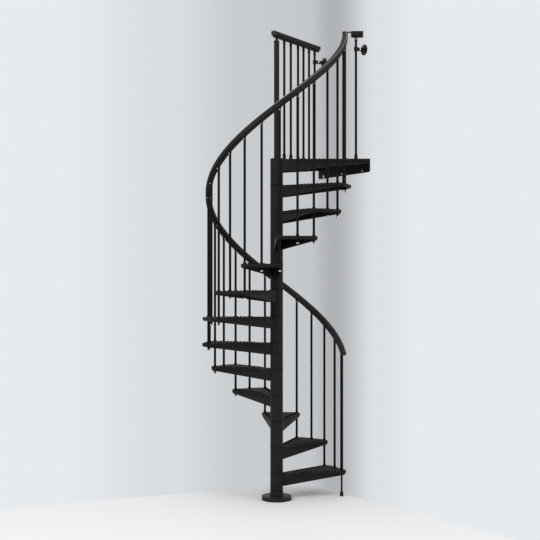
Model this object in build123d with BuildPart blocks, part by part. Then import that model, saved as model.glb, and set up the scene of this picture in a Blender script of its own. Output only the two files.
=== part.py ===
from build123d import *
import math
import os

os.makedirs("parts", exist_ok=True)

# Sizes in millimetres and degrees. The column's axis is Z, the floor is z = 0,
# and +X points square at the wall that the landing is bolted to.

# Flight
riser = 210.0
tread_count = 12
half_turn = 14.33
landing_half_angle = 30.0
landing_drop = 5.0

# Fits and sheet
fit = 0.3
sheet = 3.0
frame_plate = 4.0
lip = 21.0

# Column
hub_diameter = 101.6
hub_wall = 4.0
hub_cap = 6.0
hub_edge = 2.0
pole_diameter = 42.4
pole_wall = 3.0
base_diameter = 238.0
base_height = 32.0
base_rim_edge = 2.0
base_cover_sheet = 2.5
floor_plate_diameter = 226.0
floor_plate_thick = 12.0
floor_bolt_hole = 13.0
floor_bolt_circle = 180.0
floor_bolts = 4
collar_wall = 4.0
collar_height = 30.0
collar_edge = 2.0

# Treads
tread_reach = 584.0
tread_corner_edge = 26.2
tread_overhang = 25.0
baluster_inset = 37.7
lid_start = 130.0
cheek_depth = 95.0
cheek_end_depth = 28.0

# Landing
landing_beyond_treads = 41.0
landing_overhang = 34.0
landing_cheek_depth = 104.0
landing_cheek_end_depth = 35.0
wall_plate_thick = 5.0
wall_plate_height = 107.0
wall_plate_corner = 12.0
wall_bolt_hole = 12.0
wall_bolt_spacing = 300.0
wall_bolt_drop = 90.0

# Balusters
baluster_diameter = 19.0
stud_diameter = 10.0
stud_length = 16.0
bush_foot_flange = 5.5
bush_top_flange = 2.5
bush_height = 11.0
head_swell = 3.5
head_height = 30.0
start_diameter = 25.0
start_rod_diameter = 15.0
start_foot_diameter = 27.0
start_foot_flare = 31.0
start_foot_height = 35.0
rear_baluster_first = 118.0
rear_baluster_last_inset = 91.5
rear_baluster_offsets = (0.0, 4.0, 21.0, 11.0, 4.0, 0.0)
end_post_inset = 76.0
end_post_bush_height = 36.0

# Handrails
rail_above_treads = 958.0
rail_above_landing = 971.0
rail_width = 45.0
rail_height = 36.0
rail_groove = 2.5
rail_groove_half = 3.0
rail_shoulder = 9.0
rail_bar_width = 24.0
rail_bar_height = 16.0
rail_bar_inset = 8.0
rail_lower_bar_inset = 16.0
rail_lower_overrun = 0.28
rail_upper_overrun = 0.22
rear_rail_behind_newel = 48.0
rear_rail_inset = 34.0
front_rail_inset = 26.0
newel_gap = 32.0
newel_cap_lip = 3.0
newel_cap_height = 8.0
neck_base_diameter = 34.0
neck_top_diameter = 18.0
newel_plug_depth = 25.0
connector_length = 26.2
connector_width = 14.0
connector_thick = 8.0
connector_level = 42.0

# Wall anchors
anchor_height = 879.0
anchor_ring_wall = 6.0
anchor_ring_height = 33.0
anchor_arm_width = 12.0
anchor_arm_height = 26.0
anchor_disc_diameter = 86.0
anchor_disc_thick = 6.0
anchor_screw_hole = 7.0
anchor_screw_spacing = 52.0
anchor_boss_diameter = 46.0
anchor_boss_length = 10.0

# Positions that follow from the sizes above
hub_radius = hub_diameter / 2
baluster_circle = tread_reach - baluster_inset
landing_reach = tread_reach + landing_beyond_treads
tread_corner = (
    baluster_circle * math.cos(math.radians(half_turn))
    + baluster_circle * math.sin(math.radians(half_turn))
    + tread_corner_edge * math.sqrt(2)
)
tread_nose_half = tread_corner - tread_reach
landing_joint = riser * (tread_count + 1)
landing_top = landing_joint - landing_drop
landing_rail_level = landing_top + rail_above_landing
half_rise = riser / 2
wall_plane = landing_reach + fit + wall_plate_thick
head_diameter = baluster_diameter + head_swell
along_side = math.cos(math.radians(landing_half_angle))
end_post_radius = (landing_reach - end_post_inset) / along_side
rear_baluster_last = (landing_reach - rear_baluster_last_inset) / along_side
rear_rail_end = (landing_reach - rear_rail_inset) / along_side
front_rail_start = baluster_circle + rail_width / 2 + connector_length
front_rail_end = (landing_reach - front_rail_inset) / along_side


def station(k):
    """Angle of baluster station k, where 0 is the start and 2 * tread_count the landing."""
    return -landing_half_angle - (2 * tread_count - k) * half_turn


def ray(radius, angle):
    """Plan position at a radius along a ray."""
    return (
        radius * math.cos(math.radians(angle)),
        radius * math.sin(math.radians(angle)),
    )


def wedge(inset, inner, reach, nose_half, overhang, half_angle):
    """Plan outline of a tread or landing, moved inwards by inset, from u = inner outwards."""
    slope = math.tan(math.radians(half_angle))
    side = (overhang - inset) / math.cos(math.radians(half_angle))
    outer = reach - inset
    corner_sum = reach + nose_half - inset * math.sqrt(2)
    cut_u = (corner_sum - side) / (1 + slope)
    right = [(inner, slope * inner + side)]
    if cut_u < outer:
        right += [(cut_u, corner_sum - cut_u), (outer, corner_sum - outer)]
    else:
        right += [(outer, slope * outer + side)]
    return right + [(u, -v) for u, v in reversed(right)]


def tread_outline(inset, inner):
    return wedge(inset, inner, tread_reach, tread_nose_half, tread_overhang, half_turn)


def landing_outline(inset, inner):
    return wedge(
        inset, inner, landing_reach, landing_reach, landing_overhang, landing_half_angle
    )


def lid(outline, wide_holes, stud_holes):
    """Folded sheet lid with its top at z = 0, open towards the column."""
    with BuildPart() as folded:
        with BuildSketch():
            Polygon(*outline(0, lid_start), align=None)
        extrude(amount=-lip)
        with BuildSketch(Plane.XY.offset(-sheet)):
            Polygon(*outline(sheet, 0), align=None)
        extrude(amount=-lip, mode=Mode.SUBTRACT)
        with BuildSketch(Plane.XY.offset(-sheet)):
            with Locations(*wide_holes):
                Circle(baluster_diameter / 2 + fit)
            with Locations(*stud_holes):
                Circle(stud_diameter / 2 + fit)
        extrude(amount=sheet, mode=Mode.SUBTRACT)
    return folded.part


def bracket(outline, depth, end_depth, taper_end, foot):
    """Hub with two tapering cheeks and an end plate, drawn with the lid's top at z = 0."""
    outer_inset = sheet + fit
    inner_inset = outer_inset + frame_plate
    far = taper_end + 400
    with BuildPart() as frame:
        with BuildSketch(Plane.XZ):
            Polygon(
                (0, -sheet - fit),
                (0, -depth),
                (hub_radius, -depth),
                (taper_end, -end_depth),
                (far, -end_depth),
                (far, -sheet - fit),
                align=None,
            )
        extrude(amount=far, both=True)
        with BuildSketch(Plane.XY):
            Polygon(*outline(outer_inset, 0), align=None)
            Polygon(*outline(inner_inset, 0), align=None, mode=Mode.SUBTRACT)
        extrude(amount=-depth, mode=Mode.INTERSECT)
        with BuildSketch(Plane.XY.offset(-frame_plate)):
            Polygon(*outline(outer_inset, 0), align=None)
            Rectangle(2 * (lid_start - fit), far, mode=Mode.INTERSECT)
        extrude(amount=frame_plate)
        with BuildSketch(Plane.XY.offset(landing_drop)):
            Circle(hub_radius)
        extrude(amount=-landing_drop - foot)
        with BuildSketch(Plane.XY.offset(landing_drop - hub_cap)):
            Circle(hub_radius - hub_wall)
        extrude(amount=-landing_drop - foot, mode=Mode.SUBTRACT)
        with BuildSketch(Plane.XY.offset(landing_drop)):
            Circle(pole_diameter / 2 + fit)
        extrude(amount=-hub_cap, mode=Mode.SUBTRACT)
        ends = frame.edges().filter_by(GeomType.CIRCLE).filter_by(
            lambda e: abs(e.radius - hub_radius) < 0.01
        )
        chamfer([ends.sort_by(Axis.Z)[0], ends.sort_by(Axis.Z)[-1]], hub_edge)
    return frame.part


def baluster(foot, top, flare):
    """Turned baluster on the Z axis: stud, conical foot of height flare, shaft and head."""
    shaft = baluster_diameter / 2
    with BuildPart() as turned:
        with BuildSketch(Plane.XZ):
            with BuildLine():
                Polyline(
                    (0, foot - sheet - stud_length),
                    (stud_diameter / 2, foot - sheet - stud_length),
                    (stud_diameter / 2, foot),
                    (shaft + bush_foot_flange, foot),
                    (shaft + bush_top_flange, foot + flare),
                    (shaft, foot + flare),
                    (shaft, top - head_height),
                    (head_diameter / 2, top - head_height),
                    (head_diameter / 2, top),
                    (0, top),
                    close=True,
                )
            make_face()
        revolve(axis=Axis.Z)
    return turned.part


def spiral_baluster(k, blank):
    """Places a baluster at station k and trims its head to the slope of the rail."""
    x, y = ray(baluster_circle, station(k))
    slope = Plane(
        origin=(x, y, rail_underside(k) - fit / math.cos(rail_lead)),
        x_dir=(math.cos(math.radians(station(k))), math.sin(math.radians(station(k))), 0),
        z_dir=rail_normal(k),
    )
    with BuildPart() as trimmed:
        with Locations((x, y, 0)):
            add(blank)
        with BuildSketch(slope):
            Circle(2 * head_diameter)
        extrude(amount=4 * head_height, mode=Mode.SUBTRACT)
    return trimmed.part


def bush():
    """Loose conical bush on a tread, round a baluster that passes through it."""
    with BuildPart() as cone:
        with BuildSketch(Plane.XZ):
            with BuildLine():
                Polyline(
                    (baluster_diameter / 2 + fit, 0),
                    (baluster_diameter / 2 + bush_foot_flange, 0),
                    (baluster_diameter / 2 + bush_top_flange, bush_height),
                    (baluster_diameter / 2 + fit, bush_height),
                    close=True,
                )
            make_face()
        revolve(axis=Axis.Z)
    return cone.part


def rail_underside(k):
    return riser - landing_drop + rail_above_treads + half_rise * k


def rail_normal(k):
    """Upward normal of the rail at station k, square to its slope."""
    angle = math.radians(station(k))
    return (
        math.sin(rail_lead) * math.sin(angle),
        -math.sin(rail_lead) * math.cos(angle),
        math.cos(rail_lead),
    )


def rail_bar_profile():
    """Flat bar under the rail, with the rail's underside at y = 0."""
    return [
        (-rail_bar_width / 2, 0),
        (rail_bar_width / 2, 0),
        (rail_bar_width / 2, rail_bar_height),
        (-rail_bar_width / 2, rail_bar_height),
    ]


def rail_cap_profile():
    """Moulded rail over the bar: a full top with a groove along each side."""
    w = rail_width / 2
    low = rail_bar_height
    top = rail_bar_height + rail_height
    groove = rail_bar_height + rail_shoulder + rail_groove_half
    right = [
        (w, low),
        (w, groove - rail_groove_half),
        (w - rail_groove, groove),
        (w, groove + rail_groove_half),
        (w, top - rail_shoulder),
        (w - rail_shoulder, top),
    ]
    return right + [(-x, y) for x, y in reversed(right)]


def straight_rail(start, end, angle):
    """Rail along a ray, with its underside at the landing rails' level."""
    across = Plane(
        origin=(*ray(start, angle), landing_rail_level),
        x_dir=(-math.sin(math.radians(angle)), math.cos(math.radians(angle)), 0),
        z_dir=(math.cos(math.radians(angle)), math.sin(math.radians(angle)), 0),
    )
    with BuildPart() as rail:
        with BuildSketch(across):
            Polygon(*rail_cap_profile(), align=None)
        extrude(amount=end - start)
        with BuildSketch(across.offset(rail_bar_inset)):
            Polygon(*rail_bar_profile(), align=None)
        extrude(amount=end - start - 2 * rail_bar_inset)
    return rail.part


def wall_anchor(post):
    """Clamp ring on a post, with an arm to a rosette screwed to the wall."""
    x, y = post
    level = landing_top + anchor_height
    ring_radius = baluster_diameter / 2 + fit + anchor_ring_wall
    rosette_face = Plane(origin=(wall_plane, y, level), x_dir=(0, 1, 0), z_dir=(-1, 0, 0))
    with BuildPart() as anchor:
        with BuildSketch(Plane(origin=(x, y, level - anchor_ring_height / 2))):
            Circle(ring_radius)
        extrude(amount=anchor_ring_height)
        with BuildSketch(rosette_face):
            Circle(anchor_disc_diameter / 2)
        extrude(amount=anchor_disc_thick)
        with BuildSketch(rosette_face.offset(anchor_disc_thick)):
            Circle(anchor_boss_diameter / 2)
        extrude(amount=anchor_boss_length, taper=30)
        with BuildSketch(rosette_face.offset(anchor_disc_thick / 2)):
            Rectangle(anchor_arm_width, anchor_arm_height)
        extrude(amount=wall_plane - anchor_disc_thick / 2 - x)
        with BuildSketch(rosette_face):
            with Locations((0, anchor_screw_spacing / 2), (0, -anchor_screw_spacing / 2)):
                Circle(anchor_screw_hole / 2)
        extrude(amount=anchor_disc_thick + anchor_boss_length, mode=Mode.SUBTRACT)
        with BuildSketch(Plane(origin=(x, y, level - anchor_ring_height / 2))):
            Circle(baluster_diameter / 2 + fit)
        extrude(amount=anchor_ring_height, mode=Mode.SUBTRACT)
    return anchor.part


def place(shape, angle, height):
    """Turns a shape drawn along +X to a ray and lifts it."""
    return Location((0, 0, height), (0, 0, angle)) * shape


# Lead of the handrail's helix
rail_turn_rise = half_rise * 360 / half_turn
rail_lead = math.atan(rail_turn_rise / (2 * math.pi * baluster_circle))
rail_outer_radius = math.hypot(
    baluster_circle + rail_width / 2,
    (rail_bar_height + rail_height) * math.sin(rail_lead),
)

# Foot of the column
with BuildPart() as base_plate:
    with BuildSketch():
        Circle(floor_plate_diameter / 2)
        with PolarLocations(floor_bolt_circle / 2, floor_bolts):
            Circle(floor_bolt_hole / 2, mode=Mode.SUBTRACT)
    extrude(amount=floor_plate_thick)

with BuildPart() as base_cover:
    with BuildSketch(Plane.XZ):
        with BuildLine():
            Polyline(
                (hub_radius + fit, base_height - base_cover_sheet),
                (base_diameter / 2 - base_cover_sheet, base_height - base_cover_sheet),
                (base_diameter / 2 - base_cover_sheet, 0),
                (base_diameter / 2, 0),
                (base_diameter / 2, base_height),
                (hub_radius + fit, base_height),
                close=True,
            )
        make_face()
    revolve(axis=Axis.Z)
    rim = base_cover.edges().filter_by(GeomType.CIRCLE).filter_by(
        lambda e: abs(e.radius - base_diameter / 2) < 0.01
    )
    chamfer(rim.sort_by(Axis.Z)[-1], min(base_rim_edge, base_cover_sheet * 0.9))

with BuildPart() as column_collar:
    with BuildSketch(Plane.XY.offset(base_height + fit)):
        Circle(hub_radius + fit + collar_wall)
        Circle(hub_radius + fit, mode=Mode.SUBTRACT)
    extrude(amount=collar_height)
    outer = column_collar.edges().filter_by(GeomType.CIRCLE).filter_by(
        lambda e: e.radius > hub_radius + fit + collar_wall / 2
    )
    chamfer(outer.sort_by(Axis.Z)[-1], collar_edge)

with BuildPart() as newel_post:
    with BuildSketch(Plane.XY.offset(floor_plate_thick + fit)):
        Circle(pole_diameter / 2)
        Circle(pole_diameter / 2 - pole_wall, mode=Mode.SUBTRACT)
    extrude(amount=landing_rail_level - newel_gap - floor_plate_thick - fit)

with BuildPart() as newel_cap:
    with BuildSketch(Plane.XZ):
        with BuildLine():
            seat = landing_rail_level - newel_gap + fit
            Polyline(
                (0, seat - newel_plug_depth),
                (pole_diameter / 2 - pole_wall - fit, seat - newel_plug_depth),
                (pole_diameter / 2 - pole_wall - fit, seat),
                (pole_diameter / 2 + newel_cap_lip, seat),
                (pole_diameter / 2 + newel_cap_lip, seat + newel_cap_height),
                (neck_base_diameter / 2, seat + newel_cap_height),
                (neck_top_diameter / 2, landing_rail_level - fit),
                (0, landing_rail_level - fit),
                close=True,
            )
        make_face()
    revolve(axis=Axis.Z)

# Treads and their brackets, alike all the way up
corner = baluster_circle
front_hole = ray(corner, -half_turn)
rear_hole = ray(corner, half_turn)
tread_lid = lid(tread_outline, [front_hole], [rear_hole, (baluster_circle, 0)])
cheek_taper_end = (tread_reach + tread_nose_half) / (1 + math.tan(math.radians(half_turn)))
upper_hub_foot = riser - landing_drop - fit

for i in range(1, tread_count + 1):
    level = i * riser - landing_drop
    angle = station(2 * i - 1)
    foot = level - floor_plate_thick - fit if i == 1 else upper_hub_foot
    arm = bracket(tread_outline, cheek_depth, cheek_end_depth, cheek_taper_end, foot)
    with BuildPart() as tread_plate:
        add(place(tread_lid, angle, level))
    tread_plate.part.label = f"tread_plate_{i:02d}"
    export_step(tread_plate.part, f"parts/tread_plate_{i:02d}.step")
    with BuildPart() as tread_bracket:
        add(place(arm, angle, level))
    tread_bracket.part.label = f"tread_bracket_{i:02d}"
    export_step(tread_bracket.part, f"parts/tread_bracket_{i:02d}.step")

# Landing
passing_hole = ray(baluster_circle, -landing_half_angle)
end_post = ray(end_post_radius, -landing_half_angle)
pitch = (rear_baluster_last - rear_baluster_first) / (len(rear_baluster_offsets) - 1)
rear_radii = [
    rear_baluster_first + n * pitch + shift for n, shift in enumerate(rear_baluster_offsets)
]
rear_posts = [ray(radius, landing_half_angle) for radius in rear_radii]
lid_posts = [post for post in rear_posts if post[0] > lid_start]
landing_lid = lid(landing_outline, [passing_hole], [end_post, *lid_posts])
landing_arms = bracket(
    landing_outline,
    landing_cheek_depth,
    landing_cheek_end_depth,
    landing_reach,
    upper_hub_foot,
)
with BuildPart() as landing_plate:
    add(place(landing_lid, 0, landing_top))

with BuildPart() as landing_bracket:
    add(place(landing_arms, 0, landing_top))
    with BuildSketch(Plane.XY.offset(landing_top)):
        with Locations(*[post for post in rear_posts if post[0] < lid_start]):
            Circle(stud_diameter / 2 + fit)
    extrude(amount=-frame_plate, mode=Mode.SUBTRACT)

with BuildPart() as landing_wall_plate:
    side = landing_outline(0, 0)[1][1]
    against = Plane(origin=(wall_plane, 0, landing_top), x_dir=(0, 1, 0), z_dir=(1, 0, 0))
    with BuildSketch(against):
        Polygon(
            (-side, 0),
            (-side, wall_plate_corner - wall_plate_height),
            (wall_plate_corner - side, -wall_plate_height),
            (side - wall_plate_corner, -wall_plate_height),
            (side, wall_plate_corner - wall_plate_height),
            (side, 0),
            align=None,
        )
        with Locations(*[(n * wall_bolt_spacing, -wall_bolt_drop) for n in (-1, 0, 1)]):
            Circle(wall_bolt_hole / 2, mode=Mode.SUBTRACT)
    extrude(amount=-wall_plate_thick)

# Balusters
mid_balusters = []
corner_balusters = []
bush_spots = []
ring = bush()
for k in range(1, 2 * tread_count + 1):
    tread = (k + 1) // 2
    foot = tread * riser - landing_drop + fit
    stock_top = rail_underside(k) + head_diameter
    blank = baluster(foot, stock_top, bush_height)
    x, y = ray(baluster_circle, station(k))
    if k % 2:
        mid_balusters.append(spiral_baluster(k, blank))
    else:
        corner_balusters.append(spiral_baluster(k, blank))
        bush_spots.append((x, y, foot + riser))

landing_balusters = []
for x, y in rear_posts:
    turned = baluster(landing_top + fit, landing_rail_level - fit, bush_height)
    landing_balusters.append(Location((x, y, 0)) * turned)

post = baluster(landing_top + fit, landing_rail_level - fit, end_post_bush_height)
with BuildPart() as landing_end_post:
    with Locations((*end_post, 0)):
        add(post)

start_x, start_y = ray(baluster_circle, station(0))
with BuildPart() as start_blank:
    with BuildSketch(Plane.XZ):
        shoulder = riser - landing_drop + fit
        with BuildLine():
            Polyline(
                (0, sheet + fit),
                (start_rod_diameter / 2, sheet + fit),
                (start_rod_diameter / 2, shoulder),
                (start_diameter / 2, shoulder),
                (start_diameter / 2, rail_underside(0) + start_diameter),
                (0, rail_underside(0) + start_diameter),
                close=True,
            )
        make_face()
    revolve(axis=Axis.Z)

with BuildPart() as start_baluster:
    add(spiral_baluster(0, start_blank.part))

with BuildPart() as start_ferrule:
    with BuildSketch(Plane.XZ):
        with BuildLine():
            Polyline(
                (0, 0),
                (start_foot_flare / 2, 0),
                (start_foot_flare / 2, sheet),
                (start_foot_diameter / 2, start_foot_height / 2),
                (start_foot_diameter / 2, start_foot_height),
                (start_rod_diameter / 2 + fit, start_foot_height),
                (start_rod_diameter / 2 + fit, sheet),
                (0, sheet),
                close=True,
            )
        make_face()
    revolve(axis=Axis.Z)

with BuildPart() as start_baluster_foot:
    with Locations((start_x, start_y, 0)):
        add(start_ferrule.part)

# Handrails
with BuildPart() as coil:
    first = -rail_lower_overrun
    span = 2 * tread_count + rail_upper_overrun - first
    start = Location((0, 0, rail_underside(first)), (0, 0, station(first)))
    with BuildLine():
        course = Helix(rail_turn_rise, half_rise * span, baluster_circle)
    across = Plane(origin=course @ 0, x_dir=(-1, 0, 0), z_dir=course % 0)
    with BuildSketch(across):
        Polygon(*rail_cap_profile(), align=None)
        Polygon(*rail_bar_profile(), align=None)
    sweep(path=course, is_frenet=True)
    with BuildSketch(across):
        with Locations((0, (rail_bar_height - fit) / 2)):
            Rectangle(rail_width, rail_bar_height - fit)
    extrude(amount=rail_lower_bar_inset, mode=Mode.SUBTRACT)

with BuildPart() as spiral_handrail:
    add(start * coil.part)

with BuildPart() as landing_handrail:
    add(straight_rail(-rear_rail_behind_newel, rear_rail_end, landing_half_angle))

with BuildPart() as landing_end_rail:
    add(straight_rail(front_rail_start, front_rail_end, -landing_half_angle))

with BuildPart() as rail_connector:
    near = rail_outer_radius + fit
    along = Plane(
        origin=(*ray(near, -landing_half_angle), landing_rail_level + connector_level),
        x_dir=(math.sin(math.radians(landing_half_angle)),
               math.cos(math.radians(landing_half_angle)), 0),
        z_dir=(*ray(1, -landing_half_angle), 0),
    )
    with BuildSketch(along):
        Rectangle(connector_width, connector_thick)
    extrude(amount=front_rail_start - fit - near)

# Wall anchors
with BuildPart() as wall_anchor_front:
    add(wall_anchor(end_post))

with BuildPart() as wall_anchor_rear:
    add(wall_anchor(rear_posts[-1]))


# Like pieces that share a node
with BuildPart() as mid_baluster_set:
    add(mid_balusters)

with BuildPart() as corner_baluster_set:
    add(corner_balusters)

with BuildPart() as landing_baluster_set:
    add(landing_balusters)

with BuildPart() as bush_set:
    with Locations(*bush_spots):
        add(ring)

base_plate.part.label = "base_plate"
export_step(base_plate.part, "parts/base_plate.step")

base_cover.part.label = "base_cover"
export_step(base_cover.part, "parts/base_cover.step")

column_collar.part.label = "column_collar"
export_step(column_collar.part, "parts/column_collar.step")

newel_post.part.label = "newel_post"
export_step(newel_post.part, "parts/newel_post.step")

newel_cap.part.label = "newel_cap"
export_step(newel_cap.part, "parts/newel_cap.step")

landing_plate.part.label = "landing_plate"
export_step(landing_plate.part, "parts/landing_plate.step")

landing_bracket.part.label = "landing_bracket"
export_step(landing_bracket.part, "parts/landing_bracket.step")

landing_wall_plate.part.label = "landing_wall_plate"
export_step(landing_wall_plate.part, "parts/landing_wall_plate.step")

mid_baluster_set.part.label = "mid_balusters"
export_step(mid_baluster_set.part, "parts/mid_balusters.step")

corner_baluster_set.part.label = "corner_balusters"
export_step(corner_baluster_set.part, "parts/corner_balusters.step")

landing_baluster_set.part.label = "landing_balusters"
export_step(landing_baluster_set.part, "parts/landing_balusters.step")

landing_end_post.part.label = "landing_end_post"
export_step(landing_end_post.part, "parts/landing_end_post.step")

bush_set.part.label = "baluster_bushes"
export_step(bush_set.part, "parts/baluster_bushes.step")

start_baluster.part.label = "start_baluster"
export_step(start_baluster.part, "parts/start_baluster.step")

start_baluster_foot.part.label = "start_baluster_foot"
export_step(start_baluster_foot.part, "parts/start_baluster_foot.step")

spiral_handrail.part.label = "spiral_handrail"
export_step(spiral_handrail.part, "parts/spiral_handrail.step")

landing_handrail.part.label = "landing_handrail"
export_step(landing_handrail.part, "parts/landing_handrail.step")

landing_end_rail.part.label = "landing_end_rail"
export_step(landing_end_rail.part, "parts/landing_end_rail.step")

rail_connector.part.label = "rail_connector"
export_step(rail_connector.part, "parts/rail_connector.step")

wall_anchor_front.part.label = "wall_anchor_front"
export_step(wall_anchor_front.part, "parts/wall_anchor_front.step")

wall_anchor_rear.part.label = "wall_anchor_rear"
export_step(wall_anchor_rear.part, "parts/wall_anchor_rear.step")
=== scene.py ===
from math import asin, atan, cos, dist, hypot, pi, radians, sin, sqrt, tan
import bpy
import bmesh
from mathutils import Matrix, Vector


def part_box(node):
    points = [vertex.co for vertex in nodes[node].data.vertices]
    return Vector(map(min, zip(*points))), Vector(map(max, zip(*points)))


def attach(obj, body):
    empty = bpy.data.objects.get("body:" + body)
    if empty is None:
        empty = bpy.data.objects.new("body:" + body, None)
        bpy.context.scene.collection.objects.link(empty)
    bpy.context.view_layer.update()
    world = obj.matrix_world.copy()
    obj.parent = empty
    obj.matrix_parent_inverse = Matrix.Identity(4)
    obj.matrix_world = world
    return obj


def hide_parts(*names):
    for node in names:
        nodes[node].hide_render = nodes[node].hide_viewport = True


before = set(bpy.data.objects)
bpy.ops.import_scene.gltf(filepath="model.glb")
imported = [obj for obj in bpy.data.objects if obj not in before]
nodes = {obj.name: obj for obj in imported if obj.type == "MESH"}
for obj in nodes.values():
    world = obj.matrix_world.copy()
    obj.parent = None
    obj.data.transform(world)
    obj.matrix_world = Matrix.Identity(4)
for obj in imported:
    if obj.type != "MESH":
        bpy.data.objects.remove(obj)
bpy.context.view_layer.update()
scene = bpy.context.scene
root = "root"

# --------------------
# The studio: a level camera, a pale floor that keeps the shadows, a pale
# grey surround that darkens softly behind the column, three large lamps and
# a small one over the rail.
scene.view_settings.view_transform = "Standard"

eye_distance = 8.693
eye_side = -0.0531
eye_height = 1.838
eye_turn = radians(-28.05)
eye_lens = 72.337
eye_sensor = 36.0
eye_clip = (0.1, 100.0)


def new_object(name, data):
    """An object in the scene that holds the data."""
    holder = bpy.data.objects.new(name, data)
    scene.collection.objects.link(holder)
    return holder


def to_stair(across, away):
    """A place given across and away from the camera's view, in the stair's own frame."""
    return (
        across * cos(eye_turn) - away * sin(eye_turn),
        across * sin(eye_turn) + away * cos(eye_turn),
    )


eye = bpy.data.cameras.new("eye")
eye.lens = eye_lens
eye.sensor_width = eye_sensor
eye.clip_start, eye.clip_end = eye_clip
eye_object = new_object("eye", eye)
eye_object.location = (*to_stair(eye_side, -eye_distance), eye_height)
eye_object.rotation_euler = (radians(90), 0, eye_turn)
scene.camera = eye_object

floor_tone = (0.80, 0.815, 0.832, 1.0)
floor_rough = 0.9
surround_tint = (0.973, 1.003, 1.033)
surround_strength = 0.60
shade_turn = radians(62.0)
shade_reach = radians(12.0)
shade_height = (0.34, 0.62)
surround_level = 0.83
shade_stops = (
    (-8.0, 0.83), (-5.7, 0.75), (-3.4, 0.44), (-2.0, 0.575), (1.6, 0.605), (5.0, 0.72), (11.5, 0.83)
)


def feed(tree, node, **values):
    """Sets a node's settings and inputs by name, each input to a value, an output or a list."""
    for label, value in values.items():
        if hasattr(node, label):
            setattr(node, label, value)
            continue
        entry = node.inputs[int(label[1:]) if label.startswith("_") else label.replace("_", " ")]
        for item in value if isinstance(value, list) else [value]:
            if isinstance(item, bpy.types.NodeSocket):
                tree.links.new(item, entry)
            else:
                entry.default_value = item
    return node


def add(tree, kind, out=0, **values):
    """Adds a node with its settings and inputs, and gives one output, or the node for None."""
    node = feed(tree, tree.nodes.new(kind), **values)
    return node if out is None else node.outputs[out] if node.outputs else None


def calc(tree, operation, *values, **settings):
    """The result of a sum on numbers or outputs."""
    entries = {f"_{n}": value for n, value in enumerate(values)}
    return add(tree, "ShaderNodeMath", operation=operation, **entries, **settings)


def graded(tree, value, low, high, kind="LINEAR", **limits):
    """A value spread from 0 at low to 1 at high, or between the limits given."""
    limits.update(From_Min=low, From_Max=high)
    return add(tree, "ShaderNodeMapRange", interpolation_type=kind, Value=value, **limits)


def mixed(tree, kind, share, first, second):
    """A share of the second of two colours (RGBA) or numbers (FLOAT) in the first."""
    n, out = (6, 2) if kind == "RGBA" else (2, 0)
    parts = {"_0": share, f"_{n}": first, f"_{n + 1}": second}
    return add(tree, "ShaderNodeMix", out, data_type=kind, **parts)


def plain_material(name):
    """A new material, with its tree and its shader."""
    material = bpy.data.materials.new(name)
    material.use_nodes = True
    return material, material.node_tree, material.node_tree.nodes["Principled BSDF"]


surround = bpy.data.worlds.new("surround")
surround.use_nodes = True
scene.world = surround
tree = surround.node_tree
tree.nodes.clear()
where = add(tree, "ShaderNodeTexCoord", "Generated")
toward = add(
    tree, "ShaderNodeVectorRotate", rotation_type="Z_AXIS", Vector=where, Angle=-shade_turn
)
way = add(tree, "ShaderNodeSeparateXYZ", None, Vector=toward).outputs
sideways = calc(tree, "ARCTAN2", way["Y"], way["X"])
fade = add(tree, "ShaderNodeValToRGB", None, Fac=graded(tree, sideways, -shade_reach, shade_reach))
fade.color_ramp.interpolation = "EASE"
for count, (stop, level) in enumerate(shade_stops):
    place = 0.5 + radians(stop) / (2 * shade_reach)
    mark = fade.color_ramp.elements[count] if count < 2 else fade.color_ramp.elements.new(place)
    mark.position = place
    mark.color = (*[level * part for part in surround_tint], 1.0)
steep = graded(tree, calc(tree, "ABSOLUTE", way["Z"]), *shade_height, "SMOOTHSTEP")
plain_tone = (*[surround_level * part for part in surround_tint], 1.0)
shade = mixed(tree, "RGBA", steep, fade.outputs["Color"], plain_tone)
seen = add(tree, "ShaderNodeBackground", Color=shade)
lit = add(tree, "ShaderNodeBackground", Color=(1.0, 1.0, 1.0, 1.0), Strength=surround_strength)
rays = add(tree, "ShaderNodeLightPath", None).outputs
direct = calc(tree, "MAXIMUM", rays["Is Camera Ray"], rays["Is Glossy Ray"])
direct = calc(tree, "MAXIMUM", direct, rays["Is Transmission Ray"])
pick = add(tree, "ShaderNodeMixShader", _0=direct, _1=lit, _2=seen)
add(tree, "ShaderNodeOutputWorld", Surface=pick)

floor_corner = (0.248, 0.626)
floor_left = (-5.2, -1.53)
floor_right = (2.35, -2.30)
floor_near = -9.5
floor_sides = (-6.0, 5.5)
floor_drop = 0.0002
floor_edge = [floor_corner, floor_left, *((side, floor_near) for side in floor_sides), floor_right]
floor_mesh = bpy.data.meshes.new("floor")
floor_points = [(*to_stair(x, y), -floor_drop) for x, y in floor_edge]
floor_mesh.from_pydata(floor_points, [], [range(len(floor_points))])
floor = new_object("floor", floor_mesh)
pale, tree, shader = plain_material("pale_floor")
feed(tree, shader, Base_Color=floor_tone, Roughness=floor_rough)
floor.data.materials.append(pale)


def lamp(name, place, aim, size, power, tint=(1.0, 1.0, 1.0)):
    """A square soft lamp at a place, turned towards a point."""
    light = bpy.data.lights.new(name, "AREA")
    light.shape = "SQUARE"
    light.size = size
    light.energy = power
    light.color = tint
    holder = new_object(name, light)
    holder.location = place
    holder.rotation_euler = (Vector(aim) - Vector(place)).to_track_quat("-Z", "Y").to_euler()


middle = (0.0, 0.0, 1.9)
lamp("key", (*to_stair(-4.5, -5.5), 5.5), middle, size=3.5, power=260)
lamp("side", (*to_stair(5.5, -3.0), 3.5), middle, size=3.0, power=90)
lamp("top", (*to_stair(-0.5, -1.8), 6.8), middle, size=3.0, power=90)
lamp("rail_light", (1.1, 4.0, 6.0), (0.3, -0.3, 3.5), size=1.3, power=11, tint=(1.0, 0.94, 0.84))

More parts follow.
